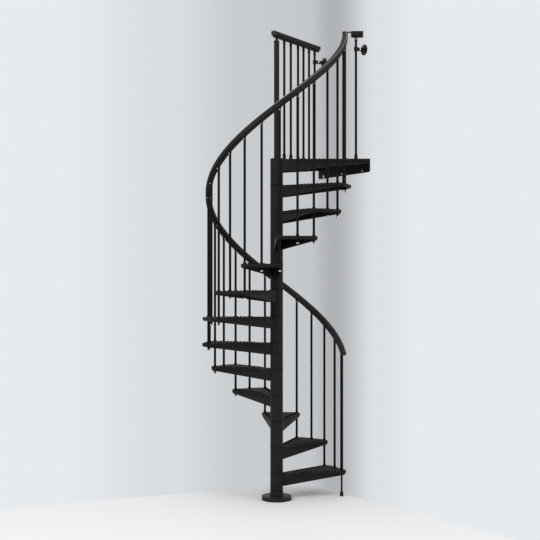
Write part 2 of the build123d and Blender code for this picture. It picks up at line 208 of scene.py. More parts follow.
# --------------------
# Floor plate, its cover and the collar. The plate is 12 mm steel bolted to
# the floor; a moulded black cover hides it, and a collar closes the gap
# round the column.
plastic_tones = ((0.0060, 0.0061, 0.0064, 1.0), (0.0100, 0.0101, 0.0106, 1.0))
plastic_skin = (0.0011, (0.42, 0.54), 0.00004)
cloud_size = 0.09
fine_share = 0.35
rough_spread = (0.3, 0.7)
tone_spread = (0.35, 0.65)
rubbed_tone = (0.030, 0.030, 0.031, 1.0)
rubbed_rough = 0.42
rubbed_width = 0.0012
rub_span = (0.985, 0.80)
dust_tone = (0.30, 0.29, 0.27, 1.0)
dust_rough = 0.85
dust_patch = 0.045
dust_span = (0.55, 0.95)
# Painted shade in hollows: its darkest tone, how far it looks, and how it grades.
hollow_shade_tone = (0.0015, 0.0015, 0.0015, 1.0)
hollow_reach = 0.014
hollow_span = (0.92, 0.50)
value_kinds = {float: "Float", int: "Int", bool: "Bool", tuple: "Color"}


def sockets(tree, way, kinds):
    """Gives a tree its inputs or outputs by name, each with its kind or its starting value."""
    for label, start in kinds.items():
        kind = value_kinds.get(type(start), start)
        socket = tree.interface.new_socket(label, in_out=way, socket_type="NodeSocket" + kind)
        if kind != start:
            socket.default_value = start


def new_group(name, inputs, outputs):
    """A shader node group, and the outputs of its input node."""
    group = bpy.data.node_groups.new(name, "ShaderNodeTree")
    sockets(group, "INPUT", inputs)
    sockets(group, "OUTPUT", outputs)
    return group, add(group, "NodeGroupInput", None).outputs


def noise(tree, place, size, detail):
    """Smooth noise whose features have a size in metres."""
    scale = calc(tree, "DIVIDE", 1.0, size)
    return add(tree, "ShaderNodeTexNoise", Vector=place, Scale=scale, Detail=detail)


# Fine surface grain and slow clouding, as a tone from 0 to 1, a roughness and a height.
tree, given = new_group(
    "surface_grain",
    {"Place": "Vector", "Grain Size": 0.001, "Cloud Size": cloud_size, "Rough Low": 0.4,
     "Rough High": 0.6, "Relief": 0.0001},
    {"Tone": "Float", "Roughness": "Float", "Height": "Float"},
)
fine = noise(tree, given["Place"], given["Grain Size"], detail=2.0)
slow = noise(tree, given["Place"], given["Cloud Size"], detail=4.0)
tone = mixed(tree, "FLOAT", fine_share, slow, fine)
rough = graded(tree, tone, *rough_spread, To_Min=given["Rough Low"], To_Max=given["Rough High"])
height = calc(tree, "MULTIPLY", fine, given["Relief"])
add(tree, "NodeGroupOutput", Tone=tone, Roughness=rough, Height=height)
surface_grain = tree


def laid_over(tree, given, cover, tone, rough, amount):
    """Ends a group that lays a tone and a roughness over the paint's where its cover lies."""
    share = calc(tree, "MULTIPLY", cover, amount, use_clamp=True)
    tone = mixed(tree, "RGBA", share, given["Tone"], tone)
    rough = mixed(tree, "FLOAT", share, given["Roughness"], rough)
    add(tree, "NodeGroupOutput", Tone=tone, Roughness=rough)


# Paint rubbed thin along its edges.
tree, given = new_group(
    "edge_rub",
    {"Tone": rubbed_tone, "Rubbed Tone": rubbed_tone, "Roughness": 0.4,
     "Rubbed Roughness": rubbed_rough, "Edge Width": rubbed_width, "Amount": 0.5,
     "Patchiness": 0.5},
    {"Tone": "Color", "Roughness": "Float"},
)
rounded = add(tree, "ShaderNodeBevel", samples=6, Radius=given["Edge Width"])
flat = add(tree, "ShaderNodeNewGeometry", "Normal")
agree = add(tree, "ShaderNodeVectorMath", "Value", operation="DOT_PRODUCT", _0=rounded, _1=flat)
worn = calc(tree, "MULTIPLY", graded(tree, agree, *rub_span), given["Patchiness"])
laid_over(tree, given, worn, given["Rubbed Tone"], given["Rubbed Roughness"], given["Amount"])
edge_rub = tree

# A thin, patchy film of dust on faces that look up.
tree, given = new_group(
    "settled_dust",
    {"Place": "Vector", "Tone": dust_tone, "Dust Tone": dust_tone, "Roughness": 0.4,
     "Amount": 0.1, "Patch Size": dust_patch},
    {"Tone": "Color", "Roughness": "Float"},
)
facing = add(tree, "ShaderNodeNewGeometry", "Normal")
upward = add(tree, "ShaderNodeSeparateXYZ", "Z", Vector=facing)
patch = noise(tree, given["Place"], given["Patch Size"], detail=5.0)
film = calc(tree, "MULTIPLY", graded(tree, upward, *dust_span, "SMOOTHSTEP"), patch)
laid_over(tree, given, film, given["Dust Tone"], dust_rough, given["Amount"])
settled_dust = tree

# Painted shade in joints and hollows: the tone darkens where ambient occlusion finds little open
# sky.
tree, given = new_group(
    "hollow_shade", {"Tone": hollow_shade_tone, "Hollow Tone": hollow_shade_tone, "Reach": hollow_reach},
    {"Tone": "Color"},
)
open_sky = add(tree, "ShaderNodeAmbientOcclusion", "AO", samples=6, Distance=given["Reach"])
closed = graded(tree, open_sky, *hollow_span)
tone = mixed(tree, "RGBA", closed, given["Tone"], given["Hollow Tone"])
add(tree, "NodeGroupOutput", Tone=tone)
hollow_shade = tree


def grained(name, tones, skin, specular=0.5, metal=0.0, rub=0.45, dust=0.02):
    """A material of two near tones, with painted shade in its hollows; a skin is its grain size,
    roughness limits and relief.
    """
    grain, rough, relief = skin
    material, tree, shader = plain_material(name)
    place = add(tree, "ShaderNodeTexCoord", "Object")
    surface = add(
        tree, "ShaderNodeGroup", None, node_tree=surface_grain, Place=place, Grain_Size=grain,
        Cloud_Size=cloud_size, Rough_Low=rough[0], Rough_High=rough[1], Relief=relief,
    ).outputs
    paint = mixed(tree, "RGBA", graded(tree, surface["Tone"], *tone_spread), *tones)
    rubbed = add(
        tree, "ShaderNodeGroup", None, node_tree=edge_rub, Tone=paint, Amount=rub,
        Roughness=surface["Roughness"], Patchiness=surface["Tone"],
    ).outputs
    film = add(
        tree, "ShaderNodeGroup", None, node_tree=settled_dust, Place=place, Tone=rubbed["Tone"],
        Roughness=rubbed["Roughness"], Amount=dust,
    ).outputs
    feed(
        tree, shader, Specular_IOR_Level=specular, Metallic=metal, Roughness=film["Roughness"],
        Base_Color=add(tree, "ShaderNodeGroup", node_tree=hollow_shade, Tone=film["Tone"]),
        Normal=add(tree, "ShaderNodeBump", Strength=1.0, Distance=1.0, Height=surface["Height"]),
    )
    return material


moulded_plastic = grained("moulded_black_plastic", plastic_tones, plastic_skin, specular=0.22)


def finish(material, *names):
    """Gives CAD nodes their material."""
    for name in names:
        nodes[name].data.materials.clear()
        nodes[name].data.materials.append(material)


def arc(centre, radius, start, end, steps=5):
    """Points of an arc in a (radius, height) profile, between two angles in degrees."""
    turn = [radians(start + (end - start) * n / steps) for n in range(steps + 1)]
    return [(centre[0] + radius * cos(t), centre[1] + radius * sin(t)) for t in turn]


def join_rings(shape, rings):
    """Faces between each ring of corners and the next; a ring may be a single corner."""
    for low, high in zip(rings, rings[1:]):
        for n in range(max(len(low), len(high))):
            ways = ((low, n), (low, n + 1), (high, n + 1), (high, n))
            corners = list(dict.fromkeys(ring[m % len(ring)] for ring, m in ways))
            if len(corners) > 2:
                shape.faces.new(corners)


def turned(profile, steps=72, closed=False):
    """A mesh turned round the Z axis from (radius, height) points; closed joins its ends."""
    shape = bmesh.new()
    rings = []
    for radius, height in profile:
        count = steps if radius > 1e-6 else 1
        turn = [2 * pi * n / steps for n in range(count)]
        rings.append([shape.verts.new((radius * cos(t), radius * sin(t), height)) for t in turn])
    join_rings(shape, rings + rings[:1] if closed else rings)
    return finished_mesh(shape)


def smoothed(mesh, crease):
    """Shades a mesh smooth, but for edges sharper than the crease in degrees."""
    mesh.shade_smooth()
    mesh.set_sharp_from_angle(angle=radians(crease))
    return mesh


def finished_mesh(shape, crease=35):
    """Closes a bmesh into a mesh whose faces point outwards."""
    bmesh.ops.recalc_face_normals(shape, faces=shape.faces)
    mesh = bpy.data.meshes.new("shape")
    shape.to_mesh(mesh)
    shape.free()
    return smoothed(mesh, crease)


def add_piece(name, mesh, material, slot, *replaced):
    """Puts a finished mesh on the stair as a piece, for the CAD nodes it replaces; its slot is not
    used.
    """
    piece = new_object(name, mesh)
    mesh.name = name
    if material:
        mesh.materials.clear()
        mesh.materials.append(material)
    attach(piece, root)
    if replaced:
        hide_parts(*replaced)


finish(moulded_plastic, "base_plate")
cover_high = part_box("base_cover")[1]
collar_low, collar_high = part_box("column_collar")
hub_radius = 0.0508
cover_skin = 0.0025
cover_rim = 0.004
bore_gap = 0.0003
cover_bore = hub_radius + bore_gap
collar_round = 0.003

cover_section = [
    (cover_bore, cover_high.z - cover_skin),
    (cover_high.x - cover_skin, cover_high.z - cover_skin),
    (cover_high.x - cover_skin, 0.0),
    (cover_high.x, 0.0),
    *arc((cover_high.x - cover_rim, cover_high.z - cover_rim), cover_rim, 0, 90),
    (cover_bore, cover_high.z),
]
add_piece(
    "floor_cover", turned(cover_section, steps=128, closed=True),
    moulded_plastic, "black_plastic", "base_cover",
)
collar_section = [
    (cover_bore, collar_low.z),
    (collar_high.x, collar_low.z),
    *arc((collar_high.x - collar_round, collar_high.z - collar_round), collar_round, 0, 90),
    (cover_bore, collar_high.z),
]
add_piece(
    "column_foot_collar", turned(collar_section, steps=96, closed=True),
    moulded_plastic, "black_plastic", "column_collar",
)

# --------------------
# Pole, hubs and tread brackets. Each hub is a steel tube with two tapering
# cheeks welded to it, powder coated matt black, and the hubs stack on the
# pole one per step with a thin black ring at every joint.
coat_tones = ((0.0042, 0.0043, 0.0046, 1.0), (0.0102, 0.0103, 0.0108, 1.0))
coat_grain = 0.0018
coat_relief = 0.00011
coat_skin = (coat_grain, (0.55, 0.76), coat_relief)
coat_specular = 0.17
tread_count = 12
half_turn = radians(14.33)
landing_half = radians(30.0)
first_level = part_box("tread_plate_01")[1].z
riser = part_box("tread_plate_02")[1].z - first_level
landing_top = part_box("landing_plate")[1].z
joint_ring_tone = (0.0022, 0.0022, 0.0024, 1.0)
joint_ring_skin = (coat_grain, (0.70, 0.80), coat_relief)
joint_ring_height = 0.0044
joint_ring_depth = 0.0035
web_bolt_radius = 0.088
cheek_depth = 0.095
landing_cheek_depth = 0.104
cheek_face_inset = 0.0033
tread_overhang = 0.025
landing_overhang = 0.034
web_bolt_head = 0.0085
weld_short = 0.008
bead_pitch = 0.0032
bead_radius = 0.0031
bead_tilt = 0.35
lid_lip = 0.021
lip_level = first_level - lid_lip
# Painted shade under each lid's lip: its width, its softness, and how far out from the axis it
# starts.
lip_shade_width = 0.0085
lip_shade_soft = 0.55
lip_shade_start = 0.128

powder_coat = grained("black_powder_coat", coat_tones, coat_skin, coat_specular)
# A copy of the powder coat that also carries the painted shade under the lids.
lip_shaded_bracket_coat = grained("black_bracket_coat", coat_tones, coat_skin, coat_specular)

# Painted shade: a dark line along the cheeks, just under each lid's lip, where the lid's shadow
# falls.
tree = lip_shaded_bracket_coat.node_tree
shader = tree.nodes["Principled BSDF"]
paint = shader.inputs["Base Color"].links[0].from_socket
place = add(tree, "ShaderNodeTexCoord", "Object")
height = add(tree, "ShaderNodeSeparateXYZ", "Z", Vector=place)
above = calc(tree, "FLOORED_MODULO", calc(tree, "SUBTRACT", height, lip_level), riser)
band = (riser - lip_shade_width, riser - lip_shade_width * lip_shade_soft)
flat = add(tree, "ShaderNodeVectorMath", operation="MULTIPLY", _0=place, _1=(1.0, 1.0, 0.0))
radius = add(tree, "ShaderNodeVectorMath", "Value", operation="LENGTH", _0=flat)
beyond = calc(tree, "GREATER_THAN", radius, lip_shade_start)
share = calc(tree, "MULTIPLY", graded(tree, above, *band, "SMOOTHSTEP"), beyond)
feed(tree, shader, Base_Color=mixed(tree, "RGBA", share, paint, hollow_shade_tone))
tread_brackets = [name for name in nodes if name.startswith("tread_bracket_")]
finish(lip_shaded_bracket_coat, *tread_brackets, "landing_bracket")
finish(powder_coat, "newel_post")


def station(k):
    """Angle of baluster station k, from 0 at the foot to 24 at the landing."""
    return -landing_half - (2 * tread_count - k) * half_turn


def ray(radius, angle, height):
    """A point at a radius and height along a ray from the column's axis."""
    return Vector((radius * cos(angle), radius * sin(angle), height))


def new_tree(name, inputs):
    """A Geometry Nodes tree, and the outputs of its input node."""
    tree = bpy.data.node_groups.new(name, "GeometryNodeTree")
    sockets(tree, "INPUT", {"Geometry": "Geometry", **inputs})
    sockets(tree, "OUTPUT", {"Geometry": "Geometry"})
    return tree, add(tree, "NodeGroupInput", None).outputs


def end_tree(tree, geometry, *coats):
    """Makes a tree's geometry real and gives it each (material, where to lay it) in turn."""
    geometry = add(tree, "GeometryNodeRealizeInstances", Geometry=geometry)
    for material, where in coats:
        geometry = add(
            tree, "GeometryNodeSetMaterial", Geometry=geometry, Material=material, Selection=where
        )
    add(tree, "NodeGroupOutput", Geometry=geometry)


def shape_of(tree, source):
    """The shape of an object that a tree is given."""
    return add(tree, "GeometryNodeObjectInfo", "Geometry", Object=source)


def vector(tree, **parts):
    """A vector of the parts that are given, with the rest at 0."""
    return add(tree, "ShaderNodeCombineXYZ", **parts)


def settled(holder):
    """The plain mesh that an object's modifiers make of it; the object itself goes."""
    ready = bpy.context.evaluated_depsgraph_get()
    mesh = bpy.data.meshes.new_from_object(holder.evaluated_get(ready), depsgraph=ready)
    bpy.data.objects.remove(holder)
    return mesh


def grown(tree, start, **values):
    """The plain mesh that a tree makes from a starting mesh, with its inputs given by name."""
    holder = new_object("start", start)
    modifier = holder.modifiers.new("grown", "NODES")
    modifier.node_group = tree
    for item in tree.interface.items_tree:
        label = item.name.replace(" ", "_").lower()
        if item.in_out == "INPUT" and label in values:
            modifier[item.identifier] = values[label]
    return settled(holder)


# Sets a copy of one fastener on each point, along its aim, each turned by chance.
tree, given = new_tree(
    "fasteners", {"Fastener": "Object", "Finish": "Material", "Free Turn": 2 * pi, "Seed": 3}
)
aim = add(tree, "GeometryNodeInputNamedAttribute", data_type="FLOAT_VECTOR", Name="aim")
upright = add(tree, "FunctionNodeAlignRotationToVector", axis="Z", Vector=aim)
chance = add(
    tree, "FunctionNodeRandomValue", 1, data_type="FLOAT", _3=given["Free Turn"], Seed=given["Seed"]
)
spin = add(tree, "FunctionNodeAxisAngleToRotation", Axis=(0.0, 0.0, 1.0), Angle=chance)
turn = add(
    tree, "FunctionNodeRotateRotation", rotation_space="LOCAL", Rotation=upright, Rotate_By=spin
)
copies = add(
    tree, "GeometryNodeInstanceOnPoints", Rotation=turn,
    Points=add(tree, "GeometryNodeMeshToPoints", Mesh=given["Geometry"]),
    Instance=shape_of(tree, given["Fastener"]),
)
end_tree(tree, copies, (given["Finish"], True))
fasteners = tree


def set_out(name, shape, spots, material, slot, free_turn=2 * pi):
    """One piece of like fasteners: a copy of the shape at each (place, aim)."""
    template = new_object("template", shape)
    start = bpy.data.meshes.new("spots")
    start.from_pydata([place for place, aim in spots], [], [])
    aims = start.attributes.new("aim", "FLOAT_VECTOR", "POINT")
    for count, (place, aim) in enumerate(spots):
        aims.data[count].vector = aim
    mesh = grown(fasteners, start, fastener=template, finish=material, free_turn=free_turn)
    bpy.data.objects.remove(template)
    add_piece(name, mesh, material, slot)


up = Vector((0.0, 0.0, 1.0))
down = -up
levels = range(1, tread_count + 1)
treads = [(station(2 * i - 1), first_level + riser * (i - 1)) for i in levels]
joint_rubber = grained(
    "joint_ring_rubber", (joint_ring_tone, joint_ring_tone), joint_ring_skin, specular=0.10
)
joint_foot = hub_radius - joint_ring_depth
joint_section = [
    (joint_foot, -joint_ring_height / 2),
    *arc((hub_radius, 0.0), joint_ring_height / 2, -90, 90, 4),
    (joint_foot, joint_ring_height / 2),
]
set_out(
    "hub_joint_rings", turned(joint_section, steps=96, closed=True),
    [(up * riser * i, up) for i in levels], joint_rubber, "black_plastic", free_turn=0.0,
)

# A low domed screw head, in units of its radius.
dome = [(cos(radians(t)), 0.12 + 0.45 * sin(radians(t))) for t in (0, 22, 45, 68)]
web_bolt = turned([(0.0, 0.0), (1.0, 0.0), *dome, (0.0, 0.57)], steps=20)
web_bolt.transform(Matrix.Scale(web_bolt_head, 4))
bolt_spots = [(ray(web_bolt_radius, angle, level), up) for angle, level in treads]
set_out("web_bolts", web_bolt, bolt_spots, powder_coat, "black_steel")

# The weld beads where the cheeks' outer faces meet the hubs, one ripple in units of its radius.
bead = turned([(0.0, -0.45), *arc((0.0, 0.0), 1.0, -60, 60, 4), (0.0, 0.95)], steps=8)
bead.transform(Matrix.Scale(bead_radius, 4))
brackets = [(angle, level, half_turn, tread_overhang, cheek_depth) for angle, level in treads]
brackets.append((0.0, landing_top, landing_half, landing_overhang, landing_cheek_depth))
bead_spots = []
for angle, level, half, overhang, depth in brackets:
    bend = half + asin((overhang - cheek_face_inset) / hub_radius)
    for seam in (angle - bend, angle + bend):
        for n in range(round((depth - weld_short) / bead_pitch)):
            place = ray(hub_radius, seam, level - depth + (n + 0.5) * bead_pitch)
            bead_spots.append((place, ray(1.0, seam, bead_tilt)))
set_out("cheek_welds", bead, bead_spots, powder_coat, "black_steel")

# --------------------
# Tread and landing lids. Each is 3 mm steel sheet cut to a wedge, folded down
# along its sides and nose and punched with raised grip holes, powder coated.
lid_sheet = 0.003
lid_fold = 0.0034
lid_start = 0.130
tread_reach = 0.584
landing_reach = 0.625
baluster_circle = 0.5463
corner_edge = 0.0262
post_hole = 0.0098
stud_hole = 0.0053
end_post_radius = 0.549 / cos(landing_half)
grip_count = 11
grip_start = 0.200
grip_pitch = 0.029
grip_hole = 0.0036
grip_liner = 0.0033
grip_foot = 0.0086
grip_rise = 0.0055
# Near-black tones for the grip rims' painted shade.
grip_shade_tones = ((0.0003, 0.0003, 0.0003, 1.0), (0.0007, 0.0007, 0.0007, 1.0))
grip_skin = (coat_grain, (0.84, 0.94), coat_relief)
grip_steps = 20
drill_depth = 0.02
tread_corner_sum = baluster_circle * (cos(half_turn) + sin(half_turn)) + corner_edge * sqrt(2)
sheet_tones = ((0.0074, 0.0075, 0.0078, 1.0), (0.0118, 0.0120, 0.0125, 1.0))
sheet_skin = (coat_grain, (0.70, 0.84), coat_relief)
lid_crease = 32
tread_sheet = grained("black_punched_sheet", sheet_tones, sheet_skin, specular=0.12, rub=0.3)


def wedge(reach, corner_sum, overhang, half_angle):
    """Plan corners of a lid along +X, whose front corners are cut where x + y is corner_sum."""
    slope = tan(half_angle)
    side = overhang / cos(half_angle)
    cut = (corner_sum - side) / (1 + slope)
    left = [(lid_start, slope * lid_start + side)]
    if cut < reach:
        left += [(cut, corner_sum - cut), (reach, corner_sum - reach)]
    else:
        left += [(reach, slope * reach + side)]
    return left + [(x, -y) for x, y in reversed(left)]


def folded_lid(corners):
    """The lid's sheet with its top at z = 0: folded edges on every side but the inner one."""
    shape = bmesh.new()
    top = [shape.verts.new((x, y, 0)) for x, y in corners]
    low = [shape.verts.new((x, y, -lid_lip)) for x, y in corners]
    shape.faces.new(top)
    for n in range(len(corners) - 1):
        shape.faces.new((top[n], low[n], low[n + 1], top[n + 1]))
    bmesh.ops.recalc_face_normals(shape, faces=shape.faces)
    folds = [edge for edge in shape.edges if len(edge.link_faces) == 2]
    bmesh.ops.bevel(shape, geom=folds, offset=lid_fold, segments=4, profile=0.5, affect="EDGES")
    holder = new_object("sheet", finished_mesh(shape))
    thick = holder.modifiers.new("sheet", "SOLIDIFY")
    thick.thickness = lid_sheet
    thick.offset = -1
    thick.use_even_offset = True
    return settled(holder)


def either(tree, switch, when_on, when_off):
    """One of two geometries, as a switch says."""
    choice = {"Switch": switch, "False": when_off, "True": when_on}
    return add(tree, "GeometryNodeSwitch", input_type="GEOMETRY", **choice)


# Punches rows of raised grip holes along rays of a lid, and cuts its post holes.
tree, given = new_tree(
    "punched_rows",
    {"Rim": "Object", "Post Drills": "Object", "Finish": "Material", "Rim Finish": "Material",
     "Row Turn": half_turn, "Row Start": grip_start, "Pitch": grip_pitch, "Count": grip_count,
     "Hole Radius": grip_hole, "Both Sides": True},
)
first, step = vector(tree, X=given["Row Start"]), vector(tree, X=given["Pitch"])
row = add(
    tree, "GeometryNodeMeshLine", mode="OFFSET", Count=given["Count"], Start_Location=first,
    Offset=step,
)
sides = [
    add(tree, "GeometryNodeTransform", Geometry=row, Rotation=vector(tree, Z=turn))
    for turn in (calc(tree, "MULTIPLY", given["Row Turn"], -1.0), given["Row Turn"])
]
both = add(tree, "GeometryNodeJoinGeometry", Geometry=sides)
rows = either(tree, given["Both Sides"], both, sides[0])
drill = add(
    tree, "GeometryNodeMeshCylinder", Vertices=grip_steps, Radius=given["Hole Radius"],
    Depth=drill_depth,
)
drills, rims = [
    add(tree, "GeometryNodeInstanceOnPoints", Points=rows, Instance=shape)
    for shape in (drill, shape_of(tree, given["Rim"]))
]
drills = add(tree, "GeometryNodeRealizeInstances", Geometry=drills)
sheet = add(
    tree, "GeometryNodeMeshBoolean", operation="DIFFERENCE", solver="EXACT",
    Mesh_1=given["Geometry"], Mesh_2=[drills, shape_of(tree, given["Post Drills"])],
)
whole = add(tree, "GeometryNodeJoinGeometry", Geometry=[sheet, rims])
raised = add(tree, "GeometryNodeInputNamedAttribute", data_type="BOOLEAN", Name="raised")
end_tree(tree, whole, (given["Finish"], True), (given["Rim Finish"], raised))
punched_rows = tree


def drills_at(holes):
    """Closed cylinders that cut a lid's round holes, each (radius out, angle, hole's radius)."""
    shape = bmesh.new()
    for out, angle, size in holes:
        bmesh.ops.create_cone(
            shape, cap_ends=True, segments=28, radius1=size, radius2=size, depth=drill_depth,
            matrix=Matrix.Translation(ray(out, angle, 0)),
        )
    return new_object("drills", finished_mesh(shape))


# Round one raised hole, from the liner's foot over the lip and down to the sheet.
grip_section = [
    (grip_liner, -0.0026),
    (grip_liner, grip_rise - 0.0010),
    (0.0036, grip_rise - 0.0003),
    (0.0042, grip_rise),
    (0.0054, grip_rise - 0.0001),
    (0.0062, grip_rise - 0.0007),
    (0.0068, grip_rise - 0.0020),
    (0.0074, 0.0012),
    (grip_foot, -0.0002),
    (0.0042, -0.0026),
]
# Painted shade: the raised rims are coloured near black, with almost no sheen, to show the dark
# holes and the shadow round them.
grip_shade_coat = grained("black_grip_rim", grip_shade_tones, grip_skin, specular=0.01, rub=0.0, dust=0.0)
grip_mesh = turned(grip_section, grip_steps, closed=True)
marks = grip_mesh.attributes.new("raised", "BOOLEAN", "FACE")
marks.data.foreach_set("value", [True] * len(grip_mesh.polygons))
grip_rim = new_object("grip_rim", grip_mesh)
post_drills = drills_at([
    (baluster_circle, -half_turn, post_hole),
    (baluster_circle, half_turn, stud_hole),
    (baluster_circle, 0.0, stud_hole),
])


def punched_lid(corners, drills, **rows):
    """A lid's folded sheet, punched with its grip rows and post holes."""
    mesh = grown(
        punched_rows, folded_lid(corners), rim=grip_rim, post_drills=drills,
        finish=tread_sheet, rim_finish=grip_shade_coat, **rows,
    )
    return smoothed(mesh, lid_crease)


tread_corners = wedge(tread_reach, tread_corner_sum, tread_overhang, half_turn)
tread_lid = punched_lid(tread_corners, post_drills)
for count, (angle, level) in enumerate(treads, 1):
    lid = tread_lid.copy()
    lid.transform(Matrix.Translation((0, 0, level)) @ Matrix.Rotation(angle, 4, "Z"))
    add_piece(f"tread_lid_{count:02d}", lid, None, "black_steel", f"tread_plate_{count:02d}")

rear_first = 0.118
rear_last = 0.5335 / cos(landing_half)
rear_shifts = (0.0, 0.004, 0.021, 0.011, 0.004, 0.0)
rear_pitch = (rear_last - rear_first) / (len(rear_shifts) - 1)
rear_radii = [rear_first + rear_pitch * n + shift for n, shift in enumerate(rear_shifts)]
landing_drills = drills_at([
    (baluster_circle, -landing_half, post_hole),
    (end_post_radius, -landing_half, stud_hole),
    *((r, landing_half, stud_hole) for r in rear_radii[1:]),
])
landing_corners = wedge(landing_reach, 2 * landing_reach, landing_overhang, landing_half)
landing_lid = punched_lid(landing_corners, landing_drills, row_turn=landing_half, both_sides=False)
landing_lid.transform(Matrix.Translation((0, 0, landing_top)))
add_piece("landing_lid", landing_lid, None, "black_steel", "landing_plate")
for spare in (grip_rim, post_drills, landing_drills):
    bpy.data.objects.remove(spare)

# --------------------
# Handrails. Each is an extruded black PVC rail with a groove along its sides,
# pushed over a flat steel bar and closed by a moulded cap at each end.
pvc_tones = ((0.0110, 0.0112, 0.0118, 1.0), (0.0155, 0.0158, 0.0165, 1.0))
shaded_landing_pvc_tones = ((0.0040, 0.0041, 0.0044, 1.0), (0.0065, 0.0066, 0.0070, 1.0))
pvc_skin = (0.0009, (0.50, 0.60), 0.00002)
rail_edge_rough = 0.14
rail_edge_half = 0.0065
rail_edge_soft = 0.001
rail_half = 0.0225
bar_half = 0.012
bar_height = 0.016
bar_edge = 0.0015
bar_sunk = 0.001
rail_top = 0.052
cap_proud = 0.0007
cap_length = 0.009
cap_chamfer = 0.0022
cap_edge_round = 0.001
cap_back_edge = 0.0012
cap_back_thick = 0.0002
bar_short_low = 0.016
bar_short_rear = 0.008
bar_short_front = 0.0008
groove_level = 0.028
groove_half = 0.0024
groove_deep = 0.0022
groove_bend = (0.8, 0.45)
rail_foot_edge = 0.0012
rail_shoulder_drop = 0.9
rail_crease = 35
rail_shoulder = 0.005
rail_shoulder_turn = 65
rail_crown = 0.004
crown_steps = 5
rail_above_tread = 0.958
rail_under = first_level + rail_above_tread
half_rise = riser / 2
low_station = -0.28
high_station = 2 * tread_count + 0.22
rail_above_landing = 0.971
rail_level = landing_top + rail_above_landing
rear_rail_start = -0.048
rear_rail_end = 0.591 / cos(landing_half)
front_rail_gap = 0.0262
front_rail_start = baluster_circle + rail_half + front_rail_gap
front_rail_end = 0.599 / cos(landing_half)
spiral_steps = 200
line_stretch = 0.01
line_scale = 900.0
line_relief = 0.00008

extruded_pvc = grained(
    "extruded_black_pvc", pvc_tones, pvc_skin, specular=0.15, rub=0.2, dust=0.01
)
# Painted shade: the landing rails are the same PVC, coloured darker.
shaded_landing_pvc = grained(
    "extruded_landing_pvc", shaded_landing_pvc_tones, pvc_skin, specular=0.18, rub=0.2, dust=0.01
)


def drawn_lines(material):
    """Adds the faint lines that run along an extrusion to a material's relief."""
    tree = material.node_tree
    around = add(tree, "ShaderNodeAttribute", "Fac", attribute_name="around")
    along = add(tree, "ShaderNodeAttribute", "Fac", attribute_name="along")
    spot = vector(tree, X=around, Y=calc(tree, "MULTIPLY", along, line_stretch))
    lines = add(tree, "ShaderNodeTexNoise", Vector=spot, Scale=line_scale, Detail=1.0)
    bump = next(node for node in tree.nodes if node.type == "BUMP")
    grain = bump.inputs["Height"].links[0].from_socket
    feed(tree, bump, Height=calc(tree, "MULTIPLY_ADD", lines, line_relief, grain))


def crowned_top(w, top):
    """Right half of a rail's top: a small rounding and then a low crown, up to the middle."""
    level = top - rail_crown - rail_shoulder * rail_shoulder_drop
    shoulder = arc((w - rail_shoulder, level), rail_shoulder, 0, rail_shoulder_turn, 4)
    reach = shoulder[-1][0]
    parts = [n / crown_steps for n in range(crown_steps - 1, 0, -1)]
    crown = [(reach * part, top - rail_crown * part**2) for part in parts]
    return shoulder + crown


deep, wide = groove_deep * groove_bend[0], groove_half * groove_bend[1]
side, top = rail_half - cap_proud, rail_top - cap_proud
rail_right = [
    (side - rail_foot_edge, bar_height),
    (side, bar_height + rail_foot_edge),
    (side, groove_level - groove_half),
    (side - deep, groove_level - wide),
    (side - groove_deep, groove_level),
    (side - deep, groove_level + wide),
    (side, groove_level + groove_half),
    *crowned_top(side, top),
]
bar_right = [(bar_half - bar_edge, 0.0), (bar_half, bar_edge), (bar_half, bar_height + bar_sunk)]


def with_left(right, *middle):
    """An outline from its right half, from the lower right corner round to the left."""
    return [*right, *middle, *[(-x, y) for x, y in reversed(right)]]


def outline_object(outline):
    """A closed outline whose points know how far round it they lie."""
    mesh = bpy.data.meshes.new("outline")
    count = len(outline)
    edges = [(n, (n + 1) % count) for n in range(count)]
    mesh.from_pydata([(x, -y, 0) for x, y in outline], edges, [])
    around = mesh.attributes.new("around", "FLOAT", "POINT")
    run = 0.0
    for n in range(count):
        around.data[n].value = run
        run += dist(outline[n], outline[(n + 1) % count])
    return new_object("outline", mesh)


# Sweeps an outline up the stair's spiral, or along the line it is given.
tree, given = new_tree(
    "swept_rail",
    {"Outline": "Object", "Finish": "Material", "Spiral": True, "Radius": baluster_circle,
     "Turns": 1.0, "Rise": 1.0, "Start Turn": 0.0, "Start Height": 0.0},
)
helix = add(
    tree, "GeometryNodeCurveSpiral", Resolution=spiral_steps, Reverse=True, Height=given["Rise"],
    Rotations=given["Turns"], Start_Radius=given["Radius"], End_Radius=given["Radius"],
)
lift, spin = vector(tree, Z=given["Start Height"]), vector(tree, Z=given["Start Turn"])
helix = add(tree, "GeometryNodeTransform", Geometry=helix, Translation=lift, Rotation=spin)
line = add(tree, "GeometryNodeMeshToCurve", Mesh=given["Geometry"])
course = either(tree, given["Spiral"], helix, line)
upright = add(tree, "GeometryNodeSetCurveNormal", mode="Z_UP", Curve=course)
marked = add(
    tree, "GeometryNodeStoreNamedAttribute", data_type="FLOAT", domain="POINT", Name="along",
    Geometry=upright, Value=add(tree, "GeometryNodeSplineParameter", "Length"),
)
loop = add(tree, "GeometryNodeMeshToCurve", Mesh=shape_of(tree, given["Outline"]))
sweep = add(tree, "GeometryNodeCurveToMesh", Curve=marked, Profile_Curve=loop, Fill_Caps=True)
end_tree(tree, sweep, (given["Finish"], True))
swept_rail = tree


def swept(outline, material, start, **values):
    """A length of rail or bar, smooth but for the sharp lines that run along it."""
    mesh = grown(swept_rail, start, outline=outline, finish=material, **values)
    shape = bmesh.new()
    shape.from_mesh(mesh)
    bmesh.ops.recalc_face_normals(shape, faces=shape.faces)
    shape.to_mesh(mesh)
    shape.free()
    return smoothed(mesh, rail_crease)


